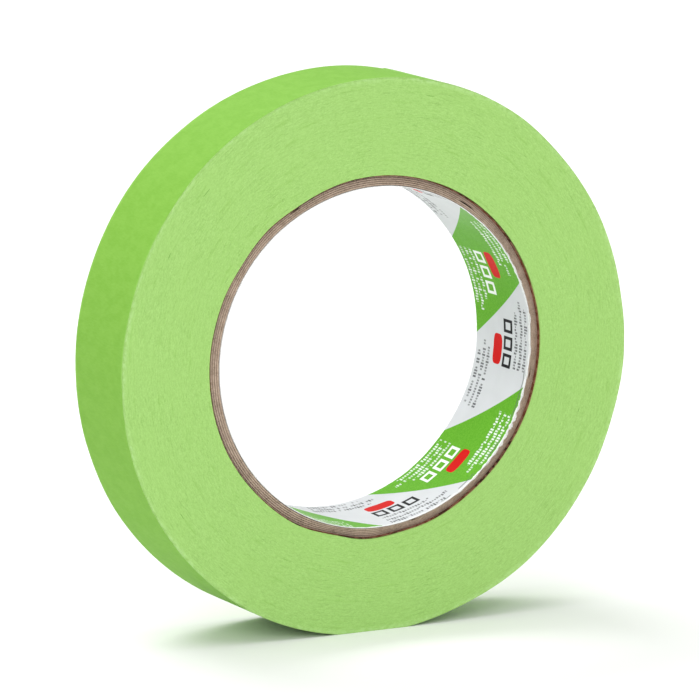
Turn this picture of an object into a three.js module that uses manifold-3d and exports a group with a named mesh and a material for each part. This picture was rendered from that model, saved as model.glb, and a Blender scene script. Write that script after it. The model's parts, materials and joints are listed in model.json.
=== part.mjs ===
// A roll of crepe masking tape, 24 mm wide, wound on a spiral paperboard core with a 3 inch bore.
//
// The roll stands on its rim. Its axis is the Y axis, its two flat sides face -Y and +Y, +Z is up,
// and the origin is the middle of the bore. The paper plies of the core lie one inside the other,
// each one a strip that winds round the tube with a butt seam. Around them lies the wound tape, then
// its last turn, then its free end, which is divided into short lengths that hinge on each other so
// that the end can be lifted.
//
// Every ring has the same number of facets and the same corner angles, so rings that touch on the
// real roll keep one thin, even gap between them here.

import * as THREE from "three";
import { mergeVertices } from "three/addons/utils/BufferGeometryUtils.js";
import Module from "manifold-3d";

// Driving dimensions, in millimetres and degrees.
const TAPE_WIDTH = 24;
const CORE_LENGTH = 23.6; // the core ends a little inside the tape's two sides
const BORE_RADIUS = 38.1; // a 3 inch core
const LINER_THICKNESS = 0.15; // printed paper inside the core
const BOARD_PLIES = 5;
const BOARD_THICKNESS = 0.4; // one ply of chipboard
const WRAP_THICKNESS = 0.15; // kraft paper outside the core
const TAPE_THICKNESS = 0.13; // crepe paper and adhesive
const ROLL_RADIUS = 61.9; // skin of the roll, halfway round its last turn
const REST_FLAT = 5.625; // half the angle of the flat that the roll has settled on
const SLIP = 0.02; // air between two neighbouring layers

// The butt seam of a core ply.
const SEAM_GAP = 0.3;
const STRIP_ANGLE = 32; // between a ply's strip and the plane of the ring
const SEAM_REACH = 1; // how far the blade that cuts a seam sticks out past the ply
const SEAM_STEPS = 12;
const FIRST_SEAM = 220; // where the liner's seam meets the front side
const SEAM_STAGGER = 65; // from the seam of one ply to the seam of the next one out

// Facets round a full turn, with one facet centred under the roll.
const FACETS = 96;
const DOWN = -90;

// The free end of the tape: its tip is at corner TIP_CORNER.
const TIP_CORNER = 20;
const END_LENGTHS = 5;
const LENGTH_FACETS = 2;
const CUT_GAP = 0.1; // between two lengths of the tape

const radians = THREE.MathUtils.degToRad;
const facetAngle = 360 / FACETS;
const cornerAngle = (corner) => (corner + 0.5) * facetAngle;
const endFacets = END_LENGTHS * LENGTH_FACETS;
const facetLength = 2 * ROLL_RADIUS * Math.sin(radians(facetAngle / 2));
const standHeight = ROLL_RADIUS * Math.cos(radians(REST_FLAT));

const wasm = await Module();
wasm.setup();

const finishes = {
  liner: new THREE.MeshStandardMaterial({ color: 0xeef0f2, roughness: 0.28, metalness: 0 }),
  board: new THREE.MeshStandardMaterial({ color: 0x9d8a7b, roughness: 0.95, metalness: 0 }),
  wrap: new THREE.MeshStandardMaterial({ color: 0x5f3420, roughness: 0.9, metalness: 0 }),
  tape: new THREE.MeshStandardMaterial({ color: 0x96d662, roughness: 0.75, metalness: 0 }),
};

function namedMesh(name, geometry, finish) {
  const mesh = new THREE.Mesh(geometry, finish);
  mesh.name = name;
  return mesh;
}

// A closed geometry as a manifold-3d solid, and back.
function toSolid(geometry) {
  const bare = geometry.clone();
  bare.deleteAttribute("normal");
  bare.deleteAttribute("uv");
  const welded = mergeVertices(bare, 1e-4);
  return new wasm.Manifold(
    new wasm.Mesh({
      numProp: 3,
      vertProperties: welded.attributes.position.array,
      triVerts: new Uint32Array(welded.index.array),
    }),
  );
}

function toGeometry(solid) {
  const { vertProperties, triVerts } = solid.getMesh();
  const geometry = new THREE.BufferGeometry();
  geometry.setAttribute("position", new THREE.BufferAttribute(vertProperties, 3));
  geometry.setIndex(new THREE.BufferAttribute(triVerts, 1));
  geometry.computeVertexNormals();
  return geometry;
}

// A plain ring about the Y axis. The profile is closed on itself.
function ring(innerRadius, thickness) {
  const outerRadius = innerRadius + thickness;
  const profile = [
    new THREE.Vector2(innerRadius, CORE_LENGTH / 2),
    new THREE.Vector2(innerRadius, -CORE_LENGTH / 2),
    new THREE.Vector2(outerRadius, -CORE_LENGTH / 2),
    new THREE.Vector2(outerRadius, CORE_LENGTH / 2),
    new THREE.Vector2(innerRadius, CORE_LENGTH / 2),
  ];
  return new THREE.LatheGeometry(profile, FACETS, radians(cornerAngle(0)));
}

// The thin twisted blade that parts a ply along its seam. It starts out upright at the top of the
// ring, and each level of it is turned to where the seam passes at that depth of the tube.
function seamBlade(radius, seamAngle) {
  const across = SEAM_GAP / Math.sin(radians(STRIP_ANGLE));
  const blade = new THREE.BoxGeometry(
    across, CORE_LENGTH + 2 * SEAM_REACH, 2 * SEAM_REACH, 1, SEAM_STEPS, 1,
  );
  blade.translate(0, 0, radius);
  const turnPerMillimetre = 1 / (Math.tan(radians(STRIP_ANGLE)) * radius);
  const axis = new THREE.Vector3(0, 1, 0);
  const places = blade.attributes.position;
  const place = new THREE.Vector3();
  for (let i = 0; i < places.count; i++) {
    place.fromBufferAttribute(places, i);
    const depth = place.y + CORE_LENGTH / 2;
    place.applyAxisAngle(axis, radians(90 - seamAngle) + depth * turnPerMillimetre);
    places.setXYZ(i, place.x, place.y, place.z);
  }
  return blade;
}

// One ply of the core: a ring parted along its seam.
function corePly(innerRadius, thickness, seamAngle) {
  const blade = seamBlade(innerRadius + thickness / 2, seamAngle);
  return toGeometry(toSolid(ring(innerRadius, thickness)).subtract(toSolid(blade)));
}

// A point of the tape's spiral, seen from the front. turnCorner counts facets from the place where
// the last turn begins, and under is the depth below the skin. The skin is flat where it rests.
function spiralPoint(turnCorner, under) {
  const angle = cornerAngle(TIP_CORNER + turnCorner);
  const round = ROLL_RADIUS + TAPE_THICKNESS * (turnCorner / FACETS - 0.5) - under;
  const towardsFloor = Math.cos(radians(angle - DOWN));
  const flat = towardsFloor > 0 ? (standHeight - under) / towardsFloor : Infinity;
  const radius = Math.min(round, flat);
  return new THREE.Vector2(
    radius * Math.cos(radians(angle)),
    radius * Math.sin(radians(angle)),
  );
}

// The outline in steps of one facet, from one corner of the last turn to another.
function spiralPoints(fromCorner, toCorner, under) {
  const points = [];
  for (let corner = fromCorner; corner <= toCorner; corner++) {
    points.push(spiralPoint(corner, under));
  }
  return points;
}

// A flat outline, pushed through the full width of the tape along Y.
function acrossWidth(shape) {
  const geometry = new THREE.ExtrudeGeometry(shape, { depth: TAPE_WIDTH, bevelEnabled: false });
  geometry.rotateX(Math.PI / 2);
  geometry.translate(0, TAPE_WIDTH / 2, 0);
  return geometry;
}

// All the turns below the last one. Its outline climbs by one thickness of tape in a full turn.
function winding(innerRadius) {
  const shape = new THREE.Shape(spiralPoints(0, FACETS, TAPE_THICKNESS + SLIP));
  const hole = [];
  for (let corner = 0; corner < FACETS; corner++) {
    const angle = radians(cornerAngle(corner));
    hole.push(new THREE.Vector2(innerRadius * Math.cos(angle), innerRadius * Math.sin(angle)));
  }
  shape.holes.push(new THREE.Path(hole));
  return acrossWidth(shape);
}

// A length of the last turn. Each of its two ends is trimmed by half the gap between lengths.
function tapeLength(fromCorner, toCorner) {
  const trim = CUT_GAP / 2 / facetLength;
  const face = (under) => {
    const points = spiralPoints(fromCorner, toCorner, under);
    const last = points.length - 1;
    const firstTrimmed = points[0].clone().lerp(points[1], trim);
    const lastTrimmed = points[last].clone().lerp(points[last - 1], trim);
    return [firstTrimmed, ...points.slice(1, last), lastTrimmed];
  };
  return acrossWidth(new THREE.Shape([...face(0), ...face(TAPE_THICKNESS).reverse()]));
}

// The core, from the bore outwards.
const core = new THREE.Group();
const plies = [
  { name: "core_liner", thickness: LINER_THICKNESS, finish: finishes.liner },
  ...Array.from({ length: BOARD_PLIES }, (_, i) => (
    { name: `core_board_ply_${i + 1}`, thickness: BOARD_THICKNESS, finish: finishes.board }
  )),
  { name: "core_kraft_wrap", thickness: WRAP_THICKNESS, finish: finishes.wrap },
];
let plyRadius = BORE_RADIUS;
plies.forEach((ply, i) => {
  const seamAngle = FIRST_SEAM + i * SEAM_STAGGER;
  core.add(namedMesh(ply.name, corePly(plyRadius, ply.thickness, seamAngle), ply.finish));
  plyRadius += ply.thickness + SLIP;
});

// The tape: its wound turns, its last turn, and the free end in lengths from the peel line to the tip.
const tape = new THREE.Group();
tape.add(namedMesh("tape_winding", winding(plyRadius), finishes.tape));
tape.add(namedMesh("tape_last_turn", tapeLength(0, FACETS - endFacets), finishes.tape));
for (let i = 0; i < END_LENGTHS; i++) {
  const fromCorner = FACETS - endFacets + i * LENGTH_FACETS;
  const geometry = tapeLength(fromCorner, fromCorner + LENGTH_FACETS);
  tape.add(namedMesh(`tape_end_${i + 1}`, geometry, finishes.tape));
}

const roll = new THREE.Group();
roll.add(core, tape);

export default roll;
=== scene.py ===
# %% [markdown]
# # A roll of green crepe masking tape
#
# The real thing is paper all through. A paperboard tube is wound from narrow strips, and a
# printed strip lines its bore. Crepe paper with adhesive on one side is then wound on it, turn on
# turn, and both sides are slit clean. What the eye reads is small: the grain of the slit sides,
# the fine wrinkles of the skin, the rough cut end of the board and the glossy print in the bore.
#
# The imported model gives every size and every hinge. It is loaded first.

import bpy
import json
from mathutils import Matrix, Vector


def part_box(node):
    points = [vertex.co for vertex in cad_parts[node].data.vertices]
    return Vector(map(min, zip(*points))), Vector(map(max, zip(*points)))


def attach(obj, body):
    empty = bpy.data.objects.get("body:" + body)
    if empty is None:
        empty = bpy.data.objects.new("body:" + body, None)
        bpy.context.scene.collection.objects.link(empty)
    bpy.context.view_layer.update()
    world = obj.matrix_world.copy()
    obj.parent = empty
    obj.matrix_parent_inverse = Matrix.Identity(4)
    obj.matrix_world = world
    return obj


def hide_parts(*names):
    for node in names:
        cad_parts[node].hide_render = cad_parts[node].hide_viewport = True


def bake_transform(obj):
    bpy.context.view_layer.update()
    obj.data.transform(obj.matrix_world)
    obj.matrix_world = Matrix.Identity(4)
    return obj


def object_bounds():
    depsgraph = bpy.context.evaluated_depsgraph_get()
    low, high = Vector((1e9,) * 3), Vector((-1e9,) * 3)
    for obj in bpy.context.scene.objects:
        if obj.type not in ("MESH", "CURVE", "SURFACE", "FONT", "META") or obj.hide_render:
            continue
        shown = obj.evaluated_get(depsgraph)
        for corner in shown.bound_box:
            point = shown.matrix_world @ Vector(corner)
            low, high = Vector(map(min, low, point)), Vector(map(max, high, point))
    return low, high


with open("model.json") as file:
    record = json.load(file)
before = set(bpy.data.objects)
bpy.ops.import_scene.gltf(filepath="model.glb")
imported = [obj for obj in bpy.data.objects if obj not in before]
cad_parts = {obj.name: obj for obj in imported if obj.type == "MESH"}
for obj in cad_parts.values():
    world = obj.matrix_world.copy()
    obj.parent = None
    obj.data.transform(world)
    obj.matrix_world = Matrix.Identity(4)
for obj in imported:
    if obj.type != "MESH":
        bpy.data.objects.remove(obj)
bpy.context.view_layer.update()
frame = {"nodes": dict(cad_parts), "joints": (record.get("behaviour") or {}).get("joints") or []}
print("nodes:", ", ".join(sorted(frame["nodes"])))

# %% [markdown]
# ## Units and directions
#
# Blender works in metres, and a roll of tape is easier to think about in millimetres, so the
# numbers below are in millimetres and each shape is scaled once, when it is finished. The axis of
# the roll is the Y axis. A place on the roll is a radius, an angle that goes from +X up towards
# +Z, and a depth from the front side.

# %% Units and directions
import json
import math

import bmesh
import bpy
from mathutils import Vector, noise

MM = 0.001
DOWN = -90.0  # the angle at which the roll rests


def at_angle(radius, angle, y):
    """The point at a radius and an angle, in millimetres and degrees."""
    turn = math.radians(angle)
    return Vector((radius * math.cos(turn), y, radius * math.sin(turn)))


def angle_of(point):
    """The angle of a point about the axis of the roll, in degrees."""
    return math.degrees(math.atan2(point.z, point.x))


def radius_of(point):
    """The distance of a point from the axis of the roll."""
    return math.hypot(point.x, point.z)


def clamp(value):
    """A number held between 0 and 1."""
    return min(1.0, max(0.0, value))


def eased(value):
    """A number held between 0 and 1, with a soft start and a soft end."""
    share = clamp(value)
    return share * share * (3 - 2 * share)


print("millimetres in a metre:", round(1 / MM))

# %% [markdown]
# ## Sizes that come from the model
#
# The radii of the layers could be typed in again, but then a change to the model would leave
# this script behind. They are read off the nodes instead. A ring in the model has its corners at
# two radii, and the larger corner of each group is the true one. The hinges of the free end say
# where the tape starts to lift and where its tip is.

# %% Sizes that come from the model
def layer_radii(node):
    """Inner and outer radius of one layer of the model, in millimetres."""
    reach = [radius_of(v.co) / MM for v in frame["nodes"][node].data.vertices]
    middle = (min(reach) + max(reach)) / 2
    return max(r for r in reach if r < middle), max(reach)


def depth_range(node):
    """The Y of a node's front side and of its back side, in millimetres."""
    low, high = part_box(node)
    return low.y / MM, high.y / MM


TAPE_THICKNESS = 0.13  # crepe paper and adhesive
SLIP = 0.02  # air between two layers

hinges = [Vector(joint["pos_m"]) / MM for joint in frame["joints"]]
end_bodies = [joint["child"] for joint in frame["joints"]]
hinge_angles = [angle_of(hinge) for hinge in hinges]
peel_angle = hinge_angles[0]
length_angle = hinge_angles[1] - hinge_angles[0]
tip_angle = hinge_angles[-1] + length_angle
peel_turn = (peel_angle + 360 - tip_angle) / 360
roll_radius = radius_of(hinges[0]) - TAPE_THICKNESS * (peel_turn - 0.5)
stand_height = -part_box("tape_last_turn")[0].z / MM
tape_front, tape_back = depth_range("tape_winding")
core_front = depth_range("core_liner")[0]
bore_radius = layer_radii("core_liner")[0]
winding_inside = layer_radii("tape_winding")[0]
print(f"bore {bore_radius:.2f}, winding from {winding_inside:.2f} to {roll_radius:.2f} mm")
print(f"free end from {peel_angle:.1f} to {tip_angle:.1f} degrees")


def skin_radius(turn):
    """Radius of the skin, which climbs by one thickness of tape from turn 0 to turn 1."""
    return roll_radius + TAPE_THICKNESS * (turn - 0.5)


# %% [markdown]
# ## A roll is never quite round
#
# Paper gives. The bore is a little out of round, the tape has been wound with a changing pull,
# and the roll has settled where it stands. One way is to bend the finished mesh with a lattice,
# but then thin layers cut into each other. Here each layer is made truly round, and then every
# point moves out or in by the same rule: listed outlines for the bore, the seat between core
# and tape, and the skin, with everything between them shared out in proportion. The bore and the
# skin have one outline at the front and another at the back, because the turns have slid a little
# over each other. Layers that were nested stay nested.

# %% How far the roll is out of round
# Each outline is a list of angles, with how far out it lies there in mm.
BORE_FRONT = [
    (0, 0.43), (12, 0.62), (26, 0.32), (38, 0.28), (50, 0.08), (75, -0.04), (108, -0.19),
    (144, 0.16), (175, 0.24), (222, 0.08), (258, 0.13), (282, 0.17), (306, 0.25), (350, 0.34),
]
BORE_BACK = [
    (5, -0.5), (34, -0.6), (70, -0.3), (140, 0), (240, 0), (292, -0.3), (320, -0.45),
    (347, -0.22),
]
SEAT = [
    (5, 0.4), (30, 0.19), (62, -0.02), (84, -0.06), (98, -0.13), (118, -0.45), (132, -0.02),
    (144, -0.12), (158, 0.25), (178, 0.45), (204, 0.4), (226, 0.15), (240, 0.26), (256, -0.25),
    (266, 0.12), (278, -0.23), (290, -0.08), (306, -0.23), (322, -0.02), (342, 0.25),
]
SKIN_FRONT = [
    (0, 0.45), (9, 0.15), (24, 0.15), (42, -0.08), (56, 0.26), (90, 0.28), (132, 0.38),
    (146, 0.2), (165, 0.05), (185, 0.18), (205, 0.28), (222, 0.25), (245, 0.5), (262, 0.4),
    (288, 0.03), (309, 0.62), (330, 0.55), (342, 0.38), (354, 0.6),
]
SKIN_BACK = [
    (0, 0.2), (60, 0), (80, -0.26), (104, -0.53), (122, -0.37), (142, -0.07), (158, -0.1),
    (180, 0.05), (198, 0.25), (214, 0.56), (236, 0.65), (250, 0.6), (300, 0.5),
]
PRESSED_POWER = 2  # how quickly the resting flat fades towards the bore
outlines = [
    (bore_radius, BORE_FRONT, BORE_BACK),
    (winding_inside, SEAT, SEAT),
    (roll_radius, SKIN_FRONT, SKIN_BACK),
]


def swell(lumps, angle):
    """The height of an outline at an angle, flowing smoothly from one chosen height to the next."""
    angle = (angle - lumps[0][0]) % 360 + lumps[0][0]
    before = max((lump for lump in lumps if lump[0] <= angle), key=lambda lump: lump[0])
    later = [lump for lump in lumps if lump[0] > angle]
    after = later[0] if later else (lumps[0][0] + 360, lumps[0][1])
    share = (angle - before[0]) / (after[0] - before[0])
    return before[1] + (after[1] - before[1]) * eased(share)


def height(outline, angle, y):
    """The height of an outline at an angle and a depth, shared between its front and its back."""
    share = clamp((y - tape_front) / (tape_back - tape_front))
    return (1 - share) * swell(outline[1], angle) + share * swell(outline[2], angle)


def settled(radius, angle, y):
    """The radius that a point of a truly round roll has on this one."""
    low, high = outlines[:2] if radius < winding_inside else outlines[1:]
    share = clamp((radius - low[0]) / (high[0] - low[0]))
    moved = radius + (1 - share) * height(low, angle, y) + share * height(high, angle, y)
    upright = math.cos(math.radians(angle - DOWN))
    if upright < 0.5:
        return moved
    flat = (stand_height - (roll_radius - radius)) / upright
    pressed = clamp((radius - bore_radius) / (roll_radius - bore_radius)) ** PRESSED_POWER
    return min(moved, moved + (flat - moved) * pressed)


print("skin at the floor:", round(settled(roll_radius, DOWN, 0.0), 3), "mm from the axis")

# %% [markdown]
# ## Shader maths that reads like Python
#
# A finish is a tree of small nodes, and wiring them one by one hides what they do. A Value wraps
# one socket that carries a number, and its operators add Math nodes, so a mask can be written as
# an ordinary expression. A Recipe is one material in the making, with one method for any node.

# %% Shader maths that reads like Python
class Value:
    """A number that changes over a surface. An expression on Values adds Math nodes."""

    def __init__(self, recipe, socket):
        self.recipe = recipe
        self.socket = socket

    def math(self, operation, *others):
        return self.recipe.math(operation, self, *others)

    def __add__(self, other):
        return self.math("ADD", other)

    def __radd__(self, other):
        return self.recipe.math("ADD", other, self)

    def __sub__(self, other):
        return self.math("SUBTRACT", other)

    def __rsub__(self, other):
        return self.recipe.math("SUBTRACT", other, self)

    def __mul__(self, other):
        return self.math("MULTIPLY", other)

    def __rmul__(self, other):
        return self.recipe.math("MULTIPLY", other, self)

    def __truediv__(self, other):
        return self.math("DIVIDE", other)

    def __rtruediv__(self, other):
        return self.recipe.math("DIVIDE", other, self)

    def __lt__(self, other):
        return self.math("LESS_THAN", other)

    def __gt__(self, other):
        return self.math("GREATER_THAN", other)

    def __abs__(self):
        return self.math("ABSOLUTE")

    def fraction(self):
        return self.math("FRACT")

    def whole(self):
        return self.math("FLOOR")

    def or_more(self, other):
        return self.math("MAXIMUM", other)

    def rise(self, low, high):
        """0 below low, 1 above high, eased between. It falls where high is the lower."""
        settings = {"interpolation_type": "SMOOTHSTEP"}
        if low < high:
            return self.recipe.node(
                "ShaderNodeMapRange", settings,
                {"Value": self, "From Min": low, "From Max": high, "To Min": 0.0, "To Max": 1.0},
            )
        return self.recipe.node(
            "ShaderNodeMapRange", settings,
            {"Value": self, "From Min": high, "From Max": low, "To Min": 1.0, "To Max": 0.0},
        )


class Recipe:
    """One finish in the making: a material, and the nodes that are added to it."""

    def __init__(self, name):
        self.material = bpy.data.materials.new(name)
        self.material.use_nodes = True
        self.tree = self.material.node_tree
        self.surface = self.tree.nodes["Principled BSDF"]

    def node(self, kind, settings=None, sockets=None, out=0):
        """Adds a node: its settings come first, then the values or links of its sockets."""
        made = self.tree.nodes.new(kind)
        for name, value in (settings or {}).items():
            setattr(made, name, value)
        for name, value in (sockets or {}).items():
            self.feed(made.inputs[name], value)
        return Value(self, made.outputs[out])

    def feed(self, socket, value):
        """A link where the value is the output of a node, and the socket's own value otherwise."""
        if isinstance(value, Value):
            self.tree.links.new(value.socket, socket)
        else:
            socket.default_value = value

    def finish(self, **sockets):
        """Sets the sockets of the surface, with _ for a space in a socket's name."""
        for name, value in sockets.items():
            self.feed(self.surface.inputs[name.replace("_", " ")], value)
        return self.material

    def math(self, operation, *values):
        sockets = dict(enumerate(values))
        return self.node("ShaderNodeMath", {"operation": operation}, sockets)

    def vector(self, operation, first, second):
        sockets = {0: first, 1: second}
        return self.node("ShaderNodeVectorMath", {"operation": operation}, sockets)

    def place(self):
        """The place on the resting roll, in millimetres, which each piece carries with it."""
        settings = {"attribute_name": "rest_place"}
        return self.node("ShaderNodeAttribute", settings, out="Vector")

    def axes(self, vector):
        """The X, Y and Z of a vector as three Values."""
        first = self.node("ShaderNodeSeparateXYZ", sockets={0: vector})
        parts = first.socket.node.outputs
        return [Value(self, part) for part in parts]

    def angle(self, x, z):
        """The angle about the axis of the roll, in degrees."""
        return self.math("ARCTAN2", z, x) * (180 / math.pi)

    def join(self, x, y, z):
        return self.node("ShaderNodeCombineXYZ", sockets={0: x, 1: y, 2: z})

    def noise(self, vector, detail=2.0, roughness=0.5, w=None):
        """Soft noise with lumps one unit across."""
        settings = {"noise_dimensions": "3D" if w is None else "4D"}
        sockets = {"Vector": vector, "Scale": 1.0, "Detail": detail, "Roughness": roughness}
        if w is not None:
            sockets["W"] = w
        return self.node("ShaderNodeTexNoise", settings, sockets)

    def grain(self, vector, spread, detail=2.0):
        """Soft noise with lumps of 1 / spread mm."""
        return self.noise(self.vector("MULTIPLY", vector, (spread,) * 3), detail)

    def mix(self, factor, first, second):
        """A colour between two colours."""
        settings = {"data_type": "RGBA"}
        return self.node("ShaderNodeMix", settings, {0: factor, 6: first, 7: second}, out=2)

    def bump(self, height, distance, strength=1.0):
        """Surface relief. The height is in units of the distance, which is in millimetres."""
        sockets = {"Height": height, "Distance": distance * MM, "Strength": strength}
        return self.node("ShaderNodeBump", sockets=sockets)


def colour(red, green, blue):
    """A colour in linear light, with no transparency."""
    return (red, green, blue, 1.0)


print("shader maths ready")

# %% [markdown]
# ## The slit sides of the tape
#
# Each side shows the cut edges of about 160 turns of crepe paper. Under a lens they are short
# pale fibres that follow the turns, with a darker line here and there where two turns part. An
# image of rings would repeat and blur. Noise that is long along the turns and narrow across
# them never repeats. The direction from the axis is a point on a circle, which has no seam, and
# the radius goes in as the fourth dimension, so the grain bends with the turns.

# %% The slit sides of the tape
# Nicks left by the slitting knife: radius, angle and half the length in degrees.
NICKS = [
    (57.3, 136.0, 1.3), (58.4, 77.0, 1.1), (57.0, 152.0, 0.8), (56.6, -147.0, 0.9),
    (53.0, -18.0, 0.7),
]


def slit_side_finish():
    recipe = Recipe("slit side of the tape")
    x, y, z = recipe.axes(recipe.place())
    radius = (x * x + z * z).math("SQRT")
    direction = recipe.vector("NORMALIZE", recipe.join(x, 0.0, z), (0.0, 0.0, 0.0))

    def along(stretch, across, detail=2.0):
        """Noise with lumps of 50 / stretch mm along a turn and 1 / across mm from turn to turn."""
        spread = recipe.vector("MULTIPLY", direction, (stretch, stretch, stretch))
        return recipe.noise(spread, detail, w=radius * across)

    fibres = along(46.0, 4.0, 3.0)
    crumbs = along(150.0, 4.2)
    turns = along(4.0, 1.4, 3.0)
    patches = along(5.0, 0.12)
    arcs = turns.rise(0.56, 0.66) * along(9.0, 0.5).rise(0.42, 0.6)
    dark_lines = along(14.0, 7.0).rise(0.64, 0.72)
    scratches = along(9.0, 6.0).rise(0.755, 0.775)
    angle = recipe.angle(x, z)
    nicks = 0.0
    for nick_radius, nick_angle, half_length in NICKS:
        away = abs(angle - nick_angle) / half_length
        off_line = abs(radius - nick_radius - away * 0.05) / 0.09
        nicks = (away * away + off_line * off_line).rise(1.0, 0.6) + nicks
    near_rim = radius.rise(roll_radius - 1.6, roll_radius - 0.1)
    # Pale cut fibres near the rim, partly a painted highlight along the rim edge.
    rim_fibres_and_highlight = near_rim * along(60.0, 1.5).rise(0.35, 0.65) * patches.rise(0.3, 0.6)
    light = fibres.rise(0.32, 0.68) * 0.5 + crumbs.rise(0.32, 0.68) * 0.5
    body = recipe.mix(light, colour(0.297, 0.54, 0.135), colour(0.416, 0.682, 0.212))
    body = recipe.mix(patches.rise(0.35, 0.65) * 0.25, body, colour(0.366, 0.63, 0.172))
    body = recipe.mix(arcs * 0.35, body, colour(0.247, 0.485, 0.09))
    body = recipe.mix(dark_lines * 0.35, body, colour(0.2, 0.4, 0.07))
    body = recipe.mix(rim_fibres_and_highlight * 0.55, body, colour(0.52, 0.78, 0.33))
    body = recipe.mix(scratches * 0.6, body, colour(0.12, 0.24, 0.05))
    body = recipe.mix(nicks * 0.7, body, colour(0.12, 0.3, 0.04))
    relief = fibres * 0.5 + crumbs * 0.5 + turns * 0.8 - dark_lines * 0.3 - scratches
    return recipe.finish(
        Base_Color=body,
        Roughness=0.9,
        Specular_IOR_Level=0.12,
        Normal=recipe.bump(relief, 0.1),
    )


slit_side = slit_side_finish()
print("slit sides:", len(slit_side.node_tree.nodes), "nodes")

# %% [markdown]
# ## The crepe skin and the adhesive under it
#
# The paper is creped, which means pushed up into fine wrinkles that run across the tape. They
# are a fraction of a millimetre apart. The larger ones are in the mesh, and the finish adds
# the smallest. The same noise in the X, Y and Z of the roll does for both, scaled so that it is
# fine along the tape and long across it. The adhesive side is the same paper seen through a
# yellower and glossier film, which the wrinkles print through.

# %% The crepe skin and the adhesive under it
def crepe_noise(recipe, along, across, detail=2.0):
    """Noise with lumps of 1 / along mm round the roll and 1 / across mm over its width."""
    scaled = recipe.vector("MULTIPLY", recipe.place(), (along, across, along))
    return recipe.noise(scaled, detail)


def crepe_skin_finish():
    recipe = Recipe("crepe skin")
    y = recipe.axes(recipe.place())[1]
    wrinkles = crepe_noise(recipe, 3.2, 0.7, 3.0)
    mottle = crepe_noise(recipe, 0.45, 0.25, 3.0)
    clouds = crepe_noise(recipe, 0.08, 0.06)
    edge = abs(y).rise(tape_back - 1.0, tape_back)
    # Pale fuzz near the slit edges of the skin, partly a painted highlight along the edge.
    fuzz_and_highlight = edge * clouds.rise(0.4, 0.6)
    body = recipe.mix(
        wrinkles.rise(0.3, 0.7) * 0.5 + mottle.rise(0.35, 0.65) * 0.5,
        colour(0.188, 0.42, 0.05),
        colour(0.22, 0.464, 0.066),
    )
    body = recipe.mix(fuzz_and_highlight * 0.4, body, colour(0.33, 0.6, 0.15))
    return recipe.finish(
        Base_Color=body,
        Roughness=0.6,
        Specular_IOR_Level=0.07,
        Normal=recipe.bump(wrinkles + mottle * 0.5, 0.03),
    )


def adhesive_finish():
    recipe = Recipe("adhesive side")
    wrinkles = crepe_noise(recipe, 2.6, 0.6, 3.0)
    streaks = crepe_noise(recipe, 0.15, 0.9)
    body = recipe.mix(
        wrinkles.rise(0.3, 0.7), colour(0.36, 0.55, 0.13), colour(0.47, 0.65, 0.2)
    )
    body = recipe.mix(streaks.rise(0.45, 0.7) * 0.3, body, colour(0.52, 0.62, 0.22))
    return recipe.finish(
        Base_Color=body,
        Roughness=wrinkles * 0.2 + 0.28,
        Normal=recipe.bump(wrinkles, 0.03),
    )


crepe_skin = crepe_skin_finish()
adhesive = adhesive_finish()
print("skin:", len(crepe_skin.node_tree.nodes), "nodes")

# %% [markdown]
# ## Chipboard and kraft paper
#
# The plies of the core are grey-brown recycled board. A cut end of it is soft and mottled, with
# tiny dark specks of old print and a few pale fibres. Along the seam that stands open, the faces
# between two plies are painted dark: painted shade of the slit, so that the slit reads as a slit.
# The wrap outside the board is a thin dark brown kraft paper, reddish where the light catches its
# edge.

# %% Chipboard and kraft paper
DARK_BOARD = colour(0.33, 0.245, 0.184)
PALE_BOARD = colour(0.46, 0.347, 0.266)
THIRD_SEAM = 55.0  # where the seam of the third board ply meets the front side
SEAM_SLANT = 2.34  # degrees that this seam turns for each mm of depth
SLIT_SHADE_REACH = 4.4  # degrees from the seam to the end of the painted slit shade


def board_finish():
    recipe = Recipe("chipboard")
    place = recipe.place()

    def lumps(size, detail=2.0):
        """Soft noise with lumps of a size in mm."""
        return recipe.grain(place, 1.0 / size, detail)

    clouds = lumps(1.6, 3.0)
    crumbs = lumps(0.35)
    specks = lumps(0.22).rise(0.66, 0.74) * lumps(1.1).rise(0.45, 0.6)
    fibres = lumps(0.3).rise(0.68, 0.76)
    body = recipe.mix(clouds.rise(0.3, 0.7), DARK_BOARD, PALE_BOARD)
    body = recipe.mix(crumbs.rise(0.35, 0.65) * 0.5, body, colour(0.58, 0.455, 0.355))
    body = recipe.mix(fibres * 0.3, body, colour(0.68, 0.58, 0.48))
    body = recipe.mix(specks * 0.8, body, colour(0.06, 0.04, 0.03))
    return recipe.finish(
        Base_Color=body,
        Roughness=0.95,
        Specular_IOR_Level=0.15,
        Normal=recipe.bump(clouds * 0.4 + crumbs, 0.12),
    )


def kraft_finish():
    recipe = Recipe("kraft wrap")
    place = recipe.place()
    clouds = recipe.grain(place, 0.12, 1.0)
    fibres = recipe.grain(place, 3.0)
    scuffs = recipe.grain(place, 0.7)
    body = recipe.mix(clouds.rise(0.4, 0.6), colour(0.04, 0.015, 0.009), colour(0.15, 0.045, 0.022))
    body = recipe.mix(scuffs.rise(0.46, 0.56) * 0.75, body, colour(0.3, 0.15, 0.1))
    body = recipe.mix(fibres.rise(0.5, 0.8) * 0.4, body, colour(0.25, 0.13, 0.07))
    return recipe.finish(
        Base_Color=body,
        Roughness=0.9,
        Specular_IOR_Level=0.2,
        Normal=recipe.bump(fibres, 0.05),
    )


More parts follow.
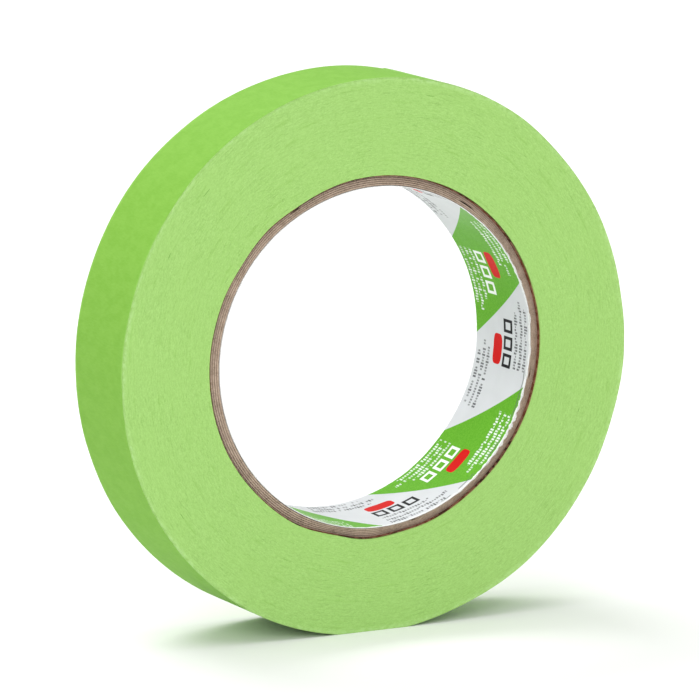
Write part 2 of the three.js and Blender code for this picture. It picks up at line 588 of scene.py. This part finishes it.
def slit_shade_finish():
    """The face of a ply: board, and painted slit shade along the seam of the third ply."""
    recipe = Recipe("painted slit shade")
    place = recipe.place()
    x, y, z = recipe.axes(place)
    angle = recipe.angle(x, z)
    from_seam = (angle - THIRD_SEAM + (y - core_front) * SEAM_SLANT) / 360 + 0.5
    # Painted shade: the faces inside the open seam are darkened to stand for the slit's shadow.
    painted_slit_shade = abs(from_seam.fraction() * 360 - 180).rise(SLIT_SHADE_REACH, SLIT_SHADE_REACH - 0.6)
    clouds = recipe.grain(place, 0.6, 3.0)
    body = recipe.mix(clouds.rise(0.3, 0.7), DARK_BOARD, PALE_BOARD)
    body = recipe.mix(painted_slit_shade, body, colour(0.05, 0.032, 0.024))
    return recipe.finish(Base_Color=body, Roughness=0.95, Normal=recipe.bump(clouds, 0.05))


chipboard = board_finish()
slit_shade_face = slit_shade_finish()
kraft = kraft_finish()
print("core finishes:", chipboard.name, "and", slit_shade_face.name, "and", kraft.name)

# %% [markdown]
# ## The printed liner
#
# The strip that lines the bore is white coated paper. Its print repeats five times round the
# core: a slanting green band, then a white one, with marks that run round the bore. The real
# marks are words, so they are not drawn. Rows of plain dashes stand where small print would be,
# three hollow squares stand for large print, and a plain rounded bar is the red accent.
#
# The angle round the bore and the depth from its front edge are worked out from the place, and
# every mark is a window in those two numbers. The repeat divides the full turn evenly, so the
# jump of the angle from 180 to -180 degrees never shows.

# %% The printed liner
PRINT_REPEAT = 72.0  # degrees from one green band to the next
PRINT_START = 309.0  # where a green band meets the front edge
BAND_SLANT = 1.0  # degrees that a band shifts for each millimetre of depth
DASH_PITCH = 0.66  # mm from one dash to the next
ROW_PITCH = 2.05  # mm from one row of dashes to the next
LARGE_PRINT = 1.9  # half the height of the squares and of the bar
BLOCK_PITCH = 5.9  # degrees from one square to the next

# Each row is its depth from the front edge, and where it starts and ends, in degrees counted
# from where a green band meets the front edge.
ROWS_ON_GREEN = [
    (2.0, 6, 25.5), (4.0, 1.5, 25.5), (6.1, 4, 25.5),
    (18.2, -10.5, 9), (20.2, -15, 9), (22.2, -12.5, 9),
]
ROWS_ON_WHITE = [
    (1.9, -32, -10.5), (4.0, -32, -8), (6.1, -32, -12.5),
    (17.8, -49, -27), (19.8, -48.5, -24.5), (21.9, -48, -29),
]
# The rows of squares and the bars have their middle depth, and the same start and end.
BLOCKS_ON_GREEN = (14.9, -8, 9.2)
BLOCKS_ON_WHITE = (9.6, -32.2, -15)
BAR_ON_GREEN = (10.35, -1, 9.2)
BAR_ON_WHITE = (14.0, -32, -21.5)


def liner_print_finish():
    recipe = Recipe("printed liner")
    place = recipe.place()
    x, y, z = recipe.axes(place)
    angle = recipe.angle(x, z)
    depth = y - core_front
    round_bore = angle * (math.radians(bore_radius))

    def window(row, half_height, soft=0.06):
        """1 inside a row's rectangle: its depth, start and end, and half of its height."""
        middle_depth, start, end = row
        middle = PRINT_START + (start + end) / 2
        away = ((angle - middle) / PRINT_REPEAT + 0.5).fraction() * PRINT_REPEAT
        half_length = (end - start) / 2
        along = abs(away - PRINT_REPEAT / 2).rise(half_length + soft, half_length - soft)
        across = abs(depth - middle_depth)
        if isinstance(half_height, Value):
            return along * (across < half_height)
        return along * across.rise(half_height + soft, half_height - soft)

    def together(rows, half_height):
        masks = [window(row, half_height) for row in rows]
        total = masks[0]
        for mask in masks[1:]:
            total = total.or_more(mask)
        return total

    step = round_bore / DASH_PITCH
    row_number = (depth / ROW_PITCH).whole()
    chance = recipe.node(
        "ShaderNodeTexWhiteNoise",
        {"noise_dimensions": "2D"},
        {"Vector": recipe.join(step.whole(), row_number, 0.0)},
    )
    strokes = step.fraction()
    dashes = strokes.rise(0.1, 0.2) * strokes.rise(0.85, 0.75) * (chance < 0.86)
    dashes = dashes * (0.55 + chance * 0.5)
    dash_height = 0.42 + 0.25 * (chance > 0.55)
    shift = ((angle - PRINT_START + depth * BAND_SLANT) / PRINT_REPEAT).fraction()
    green_band = shift.rise(0.0, 0.002) * shift.rise(0.502, 0.5)

    def blocks(row):
        """A row of hollow squares."""
        start = PRINT_START + row[1]
        along = ((angle - start) / PRINT_REPEAT).fraction() * PRINT_REPEAT / BLOCK_PITCH
        across = abs(depth - row[0]) / LARGE_PRINT
        sideways = abs(along.fraction() - 0.4) / 0.4
        reach = sideways.or_more(across)
        return window(row, LARGE_PRINT) * reach.rise(1.0, 0.97) * reach.rise(0.52, 0.56)

    def bar(row):
        """A bar with rounded ends: the window, pulled in near its corners."""
        middle_depth, start, end = row
        middle = PRINT_START + (start + end) / 2
        away = ((angle - middle) / PRINT_REPEAT + 0.5).fraction() * PRINT_REPEAT
        along = abs(away - PRINT_REPEAT / 2) / ((end - start) / 2)
        across = abs(depth - middle_depth) / LARGE_PRINT
        fourth = along * along * along * along + across * across * across * across
        return fourth.rise(1.0, 0.94)

    white_print = together(ROWS_ON_GREEN, dash_height) * dashes
    black_print = together(ROWS_ON_WHITE, dash_height) * dashes
    fleck = recipe.grain(place, 2.6, 3.0)
    cloud = recipe.grain(place, 0.2, 1.0)
    paper = recipe.mix(cloud, colour(0.63, 0.64, 0.67), colour(0.71, 0.72, 0.755))
    green = recipe.mix(
        fleck.rise(0.35, 0.65), colour(0.115, 0.38, 0.022), colour(0.15, 0.44, 0.034)
    )
    body = recipe.mix(green_band, paper, green)
    body = recipe.mix(white_print, body, colour(0.86, 0.9, 0.86))
    body = recipe.mix(black_print * 0.9, body, colour(0.035, 0.035, 0.04))
    body = recipe.mix(blocks(BLOCKS_ON_GREEN), body, colour(0.88, 0.92, 0.88))
    body = recipe.mix(blocks(BLOCKS_ON_WHITE), body, colour(0.02, 0.02, 0.022))
    red_bar = bar(BAR_ON_GREEN).or_more(bar(BAR_ON_WHITE))
    body = recipe.mix(red_bar, body, colour(0.64, 0.01, 0.008))
    wander = recipe.noise(recipe.vector("MULTIPLY", place, (0.13, 0.0, 0.13)), 2.0)
    breaks = recipe.grain(place, 0.3, 1.0)
    low_right = angle.rise(-68, -60) * angle.rise(-4, -10)
    # A crease near the front edge, low right in the bore: a groove in the bump, with its shade
    # painted as a dark grey line.
    crease_and_shade = abs(depth - 0.55 - wander * 1.5).rise(0.22, 0.12)
    crease_and_shade = crease_and_shade * low_right * breaks.rise(0.4, 0.48)
    body = recipe.mix(crease_and_shade * 0.75, body, colour(0.13, 0.15, 0.13))
    worn = recipe.grain(place, 0.9, 3.0)
    bare_edge = (depth + worn * 1.5).rise(1.3, 1.15)
    body = recipe.mix(bare_edge, body, colour(0.86, 0.87, 0.87))
    return recipe.finish(
        Base_Color=body,
        Roughness=bare_edge * 0.5 + 0.3,
        Specular_IOR_Level=0.03,
        Normal=recipe.bump(fleck * 0.3 + cloud * 2.0 - crease_and_shade, 0.05),
    )


def bare_paper_finish():
    recipe = Recipe("bare liner paper")
    fibres = recipe.grain(recipe.place(), 4.0, 3.0)
    body = recipe.mix(fibres.rise(0.3, 0.7), colour(0.7, 0.69, 0.67), colour(0.86, 0.86, 0.85))
    return recipe.finish(Base_Color=body, Roughness=0.9, Normal=recipe.bump(fibres, 0.04))


liner_print = liner_print_finish()
bare_paper = bare_paper_finish()
print("liner print:", len(liner_print.node_tree.nodes), "nodes")

# %% [markdown]
# ## Rolling a strip
#
# Every layer of a tape roll starts as a flat strip, so every layer here does too. A grid is the
# flat strip. Its length is wrapped round the axis, with a slant where the strip winds along the
# tube, and Solidify gives it the thickness of the paper. Then each point keeps a note of its
# truly round place, which the finishes read, and moves to where the settled roll has it.
#
# A tube primitive would be quicker, but it has no seam, no strip ends and no slit edges.

# %% Rolling a strip
def roll_strip(radius_at, thickness, front, back, start, sweep, columns, rows, slant=0.0):
    """A strip rolled round the axis, in mm. radius_at gives its outside at a share of it."""
    strip = bmesh.new()
    bmesh.ops.create_grid(strip, x_segments=columns, y_segments=rows, size=0.5)
    for vert in strip.verts:
        along, across = vert.co.x + 0.5, vert.co.y + 0.5
        depth = across * (back - front)
        vert.co = at_angle(radius_at(along), start + along * sweep - slant * depth, front + depth)
    bmesh.ops.reverse_faces(strip, faces=strip.faces[:])
    strip.normal_update()
    bmesh.ops.solidify(strip, geom=strip.faces[:], thickness=thickness)
    return strip


def settle(shape, relief):
    """Notes each point's round place, then moves it: relief gives how far out and how far back."""
    keep = shape.verts.layers.float_vector.new("rest_place")
    for vert in shape.verts:
        place = vert.co.copy()
        vert[keep] = place
        radius, angle = radius_of(place), angle_of(place)
        out, back = relief(place, radius, angle)
        vert.co = at_angle(settled(radius, angle, place.y) + out, angle, place.y + back) * MM


def sort_faces(shape):
    """Finish 0 for faces that look outwards, 1 for those that look inwards, 2 for cut edges."""
    shape.normal_update()
    for face in shape.faces:
        middle = face.calc_center_median()
        outward = Vector((middle.x, 0, middle.z)).normalized().dot(face.normal)
        face.material_index = 0 if outward > 0.5 else 1 if outward < -0.5 else 2
        face.smooth = True
    for edge in shape.edges:
        edge.smooth = len({face.material_index for face in edge.link_faces}) == 1


def make_piece(shape, name, finishes):
    """The finished mesh as an object of the scene, with its finishes in order."""
    mesh = bpy.data.meshes.new(name)
    shape.to_mesh(mesh)
    shape.free()
    for finish in finishes:
        mesh.materials.append(finish)
    piece = bpy.data.objects.new(name, mesh)
    bpy.context.scene.collection.objects.link(piece)
    print(f"{name}: {len(mesh.polygons)} faces")
    return piece


# %% [markdown]
# ## The core: five board plies, a kraft wrap and the liner
#
# Each ply is a strip that winds along the tube, so its two edges meet in a butt seam that slants
# through the bore. The seams are staggered, because a tube with its seams in line would split.
# Near its edges a strip is pressed thinner, and where the tube has been cut across, this leaves
# thin dark slits in the board. The cut itself is rough.

# %% The core
STRIP_ANGLE = 32  # between a strip and the plane of the ring
SEAM_GAP = 0.3
FIRST_SEAM = 220.0  # where the liner's seam meets the front side
SEAM_STAGGER = 65.0
# How far from its edge each board strip gets thinner, in mm, and by how much of its thickness.
TAPERS = [(1.35, 0.85), (1.35, 0.85), (2.3, 0.62), (1.35, 0.85), (1.35, 0.85)]
CUT_SLOPE = 0.38  # the cut end of the board slopes back by this much for each mm outwards
CORE_COLUMNS = 480
CORE_ROWS = 20


def rough_cut(place, size, depth):
    """How far a rough cut end stands in or out, with lumps of a given size."""
    return depth * noise.noise(place / size)


def core_layer(node, name, number, finishes, ply_relief):
    """One strip of the core, with its seam where the model has it."""
    inside, outside = layer_radii(node)
    outside += SLIP  # glued to the next layer
    front, back = depth_range(node)
    slant = math.degrees(1 / (math.tan(math.radians(STRIP_ANGLE)) * (inside + outside) / 2))
    gap = math.degrees(SEAM_GAP / math.sin(math.radians(STRIP_ANGLE)) / outside)
    seam = FIRST_SEAM + number * SEAM_STAGGER
    shape = roll_strip(
        lambda along: outside, outside - inside, front, back,
        seam + gap / 2, 360 - gap, CORE_COLUMNS, CORE_ROWS, slant,
    )

    def relief(place, radius, angle):
        from_seam = (angle - seam + slant * (place.y - front)) % 360
        to_edge = math.radians(min(from_seam, 360 - from_seam)) * radius
        at_end = place.y - front < SLIP or back - place.y < SLIP
        looks_in = radius < (inside + outside) / 2
        return ply_relief(place, to_edge, at_end, looks_in, outside - inside)

    settle(shape, relief)
    sort_faces(shape)
    piece = make_piece(shape, name, finishes)
    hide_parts(node)
    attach(piece, "roll")


def board_relief(taper, share):
    """The relief of a board strip that gets thinner towards its edge."""

    def relief(place, to_edge, at_end, looks_in, thickness):
        thinner = thickness * share * (1 - clamp(to_edge / taper) ** 3)
        out = thinner if looks_in else 0.0
        if not at_end:
            return out, 0.0
        worn_back = CUT_SLOPE * (radius_of(place) - bore_radius)
        back = rough_cut(place, 0.5, 0.05) + rough_cut(place, 2.5, 0.05)
        return out, back - math.copysign(worn_back, place.y)

    return relief


def wrap_relief(place, to_edge, at_end, looks_in, thickness):
    return 0.0, rough_cut(place, 0.8, 0.08) if at_end else 0.0


def liner_relief(place, to_edge, at_end, looks_in, thickness):
    wave = 0.03 * noise.noise(place / 6) + 0.012 * noise.noise(place / 1.5)
    lip = 0.06 * eased(1 - (place.y - core_front) / 0.6)
    back = rough_cut(place, 0.7, 0.1) if at_end else 0.0
    return wave - lip, back


board_nodes = sorted(n for n in frame["nodes"] if n.startswith("core_board_ply"))
core_layer(
    "core_liner", "liner", 0, [bare_paper, liner_print, bare_paper], liner_relief
)
# Only the two faces that the third seam parts get the painted slit shade.
slit_shade_faces = {2: [slit_shade_face, chipboard, chipboard], 3: [chipboard, slit_shade_face, chipboard]}
for i, (node, taper) in enumerate(zip(board_nodes, TAPERS), 1):
    ply_finishes = slit_shade_faces.get(i, [chipboard] * 3)
    core_layer(node, f"board_ply_{i}", i, ply_finishes, board_relief(*taper))
core_layer(
    "core_kraft_wrap", "kraft_wrap", len(board_nodes) + 1, [kraft] * 3, wrap_relief
)

# %% [markdown]
# ## Torn paper at the front edge of the bore
#
# The knife that cut the tube dragged the coated paper along, and small white flakes of it stand
# over the cut board. Each one is a small sheet, cut to a ragged tongue, that comes out of the
# liner's edge and folds back over the board. They are joined into one piece.

# %% Torn paper at the front edge of the bore
# The angle of each flake, its length along the edge and how far it reaches over the board, in mm.
FLAKES = [
    (21, 1.8, 0.3), (26, 2.6, 0.26), (31.5, 1.9, 0.34), (36, 1.5, 0.2), (46, 2.0, 0.2),
    (303, 2.6, 0.18), (310, 2.2, 0.22), (316.5, 2.0, 0.3), (321, 2.2, 0.5), (324.5, 1.9, 0.8),
    (327.5, 2.3, 0.65), (331, 1.7, 1.0), (334, 2.2, 0.75), (337.5, 2.0, 0.5), (342, 2.4, 0.3),
    (349, 2.0, 0.22), (357, 2.4, 0.2), (8, 2.2, 0.2),
]
FLAKE_THICKNESS = 0.07


def add_flake(flakes, number, angle, length, reach):
    """One ragged tongue of paper on the front edge of the liner."""
    grid = bmesh.ops.create_grid(flakes, x_segments=14, y_segments=6, size=0.5)
    for vert in grid["verts"]:
        along = vert.co.x * 2
        up = vert.co.y + 0.5
        torn = 0.75 + 0.6 * noise.noise(Vector((along * 3, number * 7.3, 0.0)))
        rise = up * reach * torn * (1 - along * along)
        curl = 0.12 + 0.16 * math.sin(up * math.pi) * (1 - along * along)
        turn = math.degrees(along * length / 2 / bore_radius)
        radius = bore_radius + 0.04 + rise
        vert.co = at_angle(radius, angle + turn, core_front - curl + CUT_SLOPE * rise)


def torn_flakes():
    """All the flakes, with the thickness of paper."""
    flakes = bmesh.new()
    for number, flake in enumerate(FLAKES):
        add_flake(flakes, number, *flake)
    bmesh.ops.recalc_face_normals(flakes, faces=flakes.faces[:])
    bmesh.ops.solidify(flakes, geom=flakes.faces[:], thickness=FLAKE_THICKNESS)
    bmesh.ops.recalc_face_normals(flakes, faces=flakes.faces[:])
    return flakes


torn_paper = torn_flakes()
settle(torn_paper, lambda place, radius, angle: (0.0, 0.0))
sort_faces(torn_paper)
torn_piece = make_piece(torn_paper, "torn_paper", [bare_paper] * 3)
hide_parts("core_liner")
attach(torn_piece, "roll")

# %% [markdown]
# ## The wound turns
#
# One strip of tape more than 50 metres long would be the true way to make the winding, and far
# too many faces. From outside only its slit sides show, so the turns are one ring: a closed
# outline, spun about the axis. Both sides of the outline are cut finely, so that after the spin
# each side can be given its relief, where some turns stand a few hundredths of a millimetre
# proud of others. The skin of the ring climbs by one thickness of tape in a turn and steps down
# under the tip of the free end, as a spiral does. Where the core is a little loose, a thin gap
# opens.

# %% The wound turns
SPIN_STEPS = 360
SIDE_CUTS = 90
RIM_CUTS = 7
SOFT_RIM = 0.12  # width of the worn rim between a slit side and the skin
# The gap between core and winding: angles, with its width in mm.
LOOSE_CORE = [
    (0, 0.0), (14, 0.02), (28, 0.18), (56, 0.2), (74, 0.04), (120, 0.06), (180, 0.03),
    (250, 0.02), (262, 0.12), (272, 0.12), (282, 0.02), (330, 0.0),
]
GAP_REACH = 0.1  # share of the winding over which the gap fades
winding_outside = skin_radius(0) - TAPE_THICKNESS - SLIP


def slit_relief(radius, angle):
    """How far the slit side stands proud, in millimetres."""
    spot = at_angle(1.0, angle, 0.0)
    turns = noise.noise(Vector((spot.x * 3, radius * 0.9, spot.z * 3)))
    parted = noise.noise(Vector((spot.x * 12, radius * 3.5, spot.z * 12 + 40)))
    return 0.022 * turns + 0.012 * parted


def wound_turns():
    """The outline of the winding, spun into a ring, in millimetres."""
    ring = bmesh.new()
    corners = [
        ring.verts.new(at_angle(radius, tip_angle, y))
        for radius, y in (
            (winding_inside, tape_front), (winding_outside, tape_front),
            (winding_outside, tape_back), (winding_inside, tape_back),
        )
    ]
    edges = [ring.edges.new((corners[i], corners[(i + 1) % 4])) for i in range(4)]
    bmesh.ops.subdivide_edges(ring, edges=[edges[0], edges[2]], cuts=SIDE_CUTS)
    across = [e for e in ring.edges if abs(e.verts[0].co.y - e.verts[1].co.y) > 1]
    bmesh.ops.subdivide_edges(ring, edges=across, cuts=RIM_CUTS)
    bmesh.ops.spin(
        ring, geom=ring.verts[:] + ring.edges[:], cent=(0, 0, 0), axis=(0, 1, 0),
        dvec=(0, 0, 0), angle=math.tau, steps=SPIN_STEPS, use_merge=True, use_duplicate=False,
    )
    bmesh.ops.recalc_face_normals(ring, faces=ring.faces[:])
    return ring


def winding_relief(place, radius, angle):
    just_past_tip = 0.01
    turn = (angle - tip_angle - just_past_tip) % 360 / 360
    share = (radius - winding_inside) / (winding_outside - winding_inside)
    out = TAPE_THICKNESS * turn * share
    out += swell(LOOSE_CORE, angle) * eased(1 - share / GAP_REACH)
    on_side = abs(place.y) > tape_back - SLIP
    if not on_side:
        return out, 0.0
    worn = 0.03 * (1 - clamp((winding_outside - radius) / SOFT_RIM))
    worn += 0.05 * (1 - clamp((radius - winding_inside) / SOFT_RIM))
    proud = slit_relief(radius, angle if place.y < 0 else -angle) - worn
    return out, math.copysign(proud, place.y)


winding = wound_turns()
settle(winding, winding_relief)
sort_faces(winding)
winding_piece = make_piece(winding, "wound_turns", [crepe_skin, adhesive, slit_side])
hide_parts("tape_winding")
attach(winding_piece, "roll")

# %% [markdown]
# ## The last turn and its free end
#
# The last turn is rolled as a strip of its own, from the place that the tip of the tape covers
# round to the line where it peels. Its wrinkles are modelled: they run across the tape, and
# they are a little uneven. The free end is five short lengths of the same strip. Each length
# spans one hinge of the model, from the middle of one body to the middle of the next. The tip
# was torn off, so it is a little ragged.

# %% The last turn and its free end
COLUMN_WIDTH = 0.36  # mm along the tape
TAPE_ROWS = 24
WRINKLE = 0.013  # height of a wrinkle
RAGGED_TIP = 0.25  # mm
LIFTED_TIP = 0.03  # mm


def crepe_relief(place, radius, angle):
    """Wrinkles of the crepe, and a slit edge that isn't quite straight."""
    wrinkles = noise.noise(Vector((place.x * 1.3, place.y * 0.3, place.z * 1.3)))
    waves = noise.noise(Vector((place.x * 0.3, place.y * 0.12, place.z * 0.3)))
    from_tip = (tip_angle - angle) % 360
    lift = LIFTED_TIP * eased(1 - from_tip / 4) if radius > skin_radius(1) - 0.2 else 0.0
    back = 0.0
    if abs(place.y) > tape_back - SLIP:
        back = 0.025 * noise.noise(Vector((place.x * 0.5, place.y, place.z * 0.5)))
    return WRINKLE * (wrinkles + 0.6 * waves) + lift, back


def tape_length(name, start, end, finishes):
    """A length of the last turn between two angles, counted on from the tip."""
    sweep = end - start
    columns = max(2, round(math.radians(sweep) * roll_radius / COLUMN_WIDTH))

    def radius_at(along):
        return skin_radius((start + along * sweep - tip_angle) / 360)

    shape = roll_strip(
        radius_at, TAPE_THICKNESS, tape_front, tape_back, start, sweep, columns, TAPE_ROWS
    )
    if end > tip_angle + 359.9:
        for vert in shape.verts:
            near_tip = clamp(1 - (tip_angle - angle_of(vert.co)) / 2)
            shift = RAGGED_TIP * near_tip * noise.noise(Vector((0, vert.co.y * 1.7, 0)))
            angle = angle_of(vert.co) + math.degrees(shift / roll_radius)
            vert.co = at_angle(radius_of(vert.co), angle, vert.co.y)
    settle(shape, crepe_relief)
    sort_faces(shape)
    return make_piece(shape, name, finishes)


tape_finishes = [crepe_skin, adhesive, slit_side]
last_turn = tape_length("outer_turn", tip_angle, peel_angle + 360, tape_finishes)
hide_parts("tape_last_turn")
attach(last_turn, "roll")


def on_skin(angle):
    """The point of the skin at an angle, in metres."""
    return at_angle(settled(skin_radius(1), angle, 0.0), angle, 0.0) * MM


bodies = ["roll", *end_bodies]
half = length_angle / 2
for i, hinge_angle in enumerate(hinge_angles):
    start = peel_angle if i == 0 else hinge_angle - half
    end = tip_angle if i == len(hinge_angles) - 1 else hinge_angle + half
    piece = tape_length(f"free_end_{i + 1}", start + 360, end + 360, tape_finishes)
    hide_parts(f"tape_end_{i + 1}")
    bodies[i + 1]
    on_skin(start)
    on_skin(hinge_angle + half)
    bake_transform(piece)

# %% [markdown]
# ## Floor, light and camera
#
# The roll stands on its rim on a plain white floor. A light path node lets the camera see the
# world as plain white, while the world lights the roll with less, so from above no horizon shows.
# Three wide softboxes do the rest: the strongest, high behind the roll, lights the rim, one in
# front at the left keeps the slit side clear, and a weak one hangs above.
#
# The camera stands well back with a long lens, so the two sides of the roll look almost equal.

# %% Floor, light and camera
FLOOR_SIZE = 24.0  # metres
ROOM_LIGHT = 0.68  # how bright the white room is as a light; the camera sees it as plain white
floor_shape = bmesh.new()
bmesh.ops.create_grid(floor_shape, x_segments=8, y_segments=8, size=FLOOR_SIZE / 2)
floor_mesh = bpy.data.meshes.new("floor")
floor_shape.to_mesh(floor_mesh)
floor_shape.free()
floor = bpy.data.objects.new("floor", floor_mesh)
floor.location.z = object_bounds()[0].z
bpy.context.scene.collection.objects.link(floor)
floor_recipe = Recipe("floor")
floor_mesh.materials.append(
    floor_recipe.finish(Base_Color=colour(0.92, 0.92, 0.92), Roughness=0.9, Specular_IOR_Level=0.1)
)

world = bpy.data.worlds.new("white room")
bpy.context.scene.world = world
world.use_nodes = True
room = world.node_tree.nodes["Background"]
room.inputs["Color"].default_value = colour(1.0, 1.0, 1.0)
backdrop = world.node_tree.nodes.new("ShaderNodeBackground")
backdrop.inputs["Color"].default_value = colour(1.0, 1.0, 1.0)
room.inputs["Strength"].default_value = ROOM_LIGHT
seen = world.node_tree.nodes.new("ShaderNodeLightPath")
either = world.node_tree.nodes.new("ShaderNodeMixShader")
for output, socket in (
    (seen.outputs["Is Camera Ray"], either.inputs[0]),
    (room.outputs[0], either.inputs[1]),
    (backdrop.outputs[0], either.inputs[2]),
    (either.outputs[0], world.node_tree.nodes["World Output"].inputs["Surface"]),
):
    world.node_tree.links.new(output, socket)


def softbox(name, place, size, watts):
    """A rectangular light that faces the roll. size is its width and its height."""
    light = bpy.data.lights.new(name, "AREA")
    light.shape = "RECTANGLE"
    light.size, light.size_y = size
    light.energy = watts
    lamp = bpy.data.objects.new(name, light)
    lamp.location = place
    lamp.rotation_mode = "QUATERNION"
    lamp.rotation_quaternion = (-Vector(place)).to_track_quat("-Z", "Y")
    lamp.visible_camera = False
    bpy.context.scene.collection.objects.link(lamp)


softbox("softbox above", (-0.3, -0.2, 1.3), (1.0, 1.0), 6.0)
softbox("softbox at the left", (-1.0, -1.5, 0.9), (0.9, 0.9), 9.5)
softbox("softbox behind", (-0.2, 1.1, 1.5), (1.2, 0.8), 18.0)

AZIMUTH = math.radians(-27.2)
ELEVATION = math.radians(11.0)
DISTANCE = 1.6  # metres
LENS = 371.7  # mm, on a sensor 36 mm wide
towards_camera = Vector((
    math.sin(AZIMUTH) * math.cos(ELEVATION),
    -math.cos(AZIMUTH) * math.cos(ELEVATION),
    math.sin(ELEVATION),
))
aim = Vector((-0.00039, 0.00013, -0.00041))
camera_data = bpy.data.cameras.new("camera")
camera_data.sensor_width = 36
camera_data.lens = LENS
camera_data.clip_end = 60
camera = bpy.data.objects.new("camera", camera_data)
camera.location = aim + towards_camera * DISTANCE
camera.rotation_mode = "QUATERNION"
camera.rotation_quaternion = (-towards_camera).to_track_quat("-Z", "Y")
bpy.context.scene.collection.objects.link(camera)
bpy.context.scene.camera = camera
bpy.context.scene.view_settings.view_transform = "Standard"
print("floor at", round(floor.location.z / MM, 3), "mm")
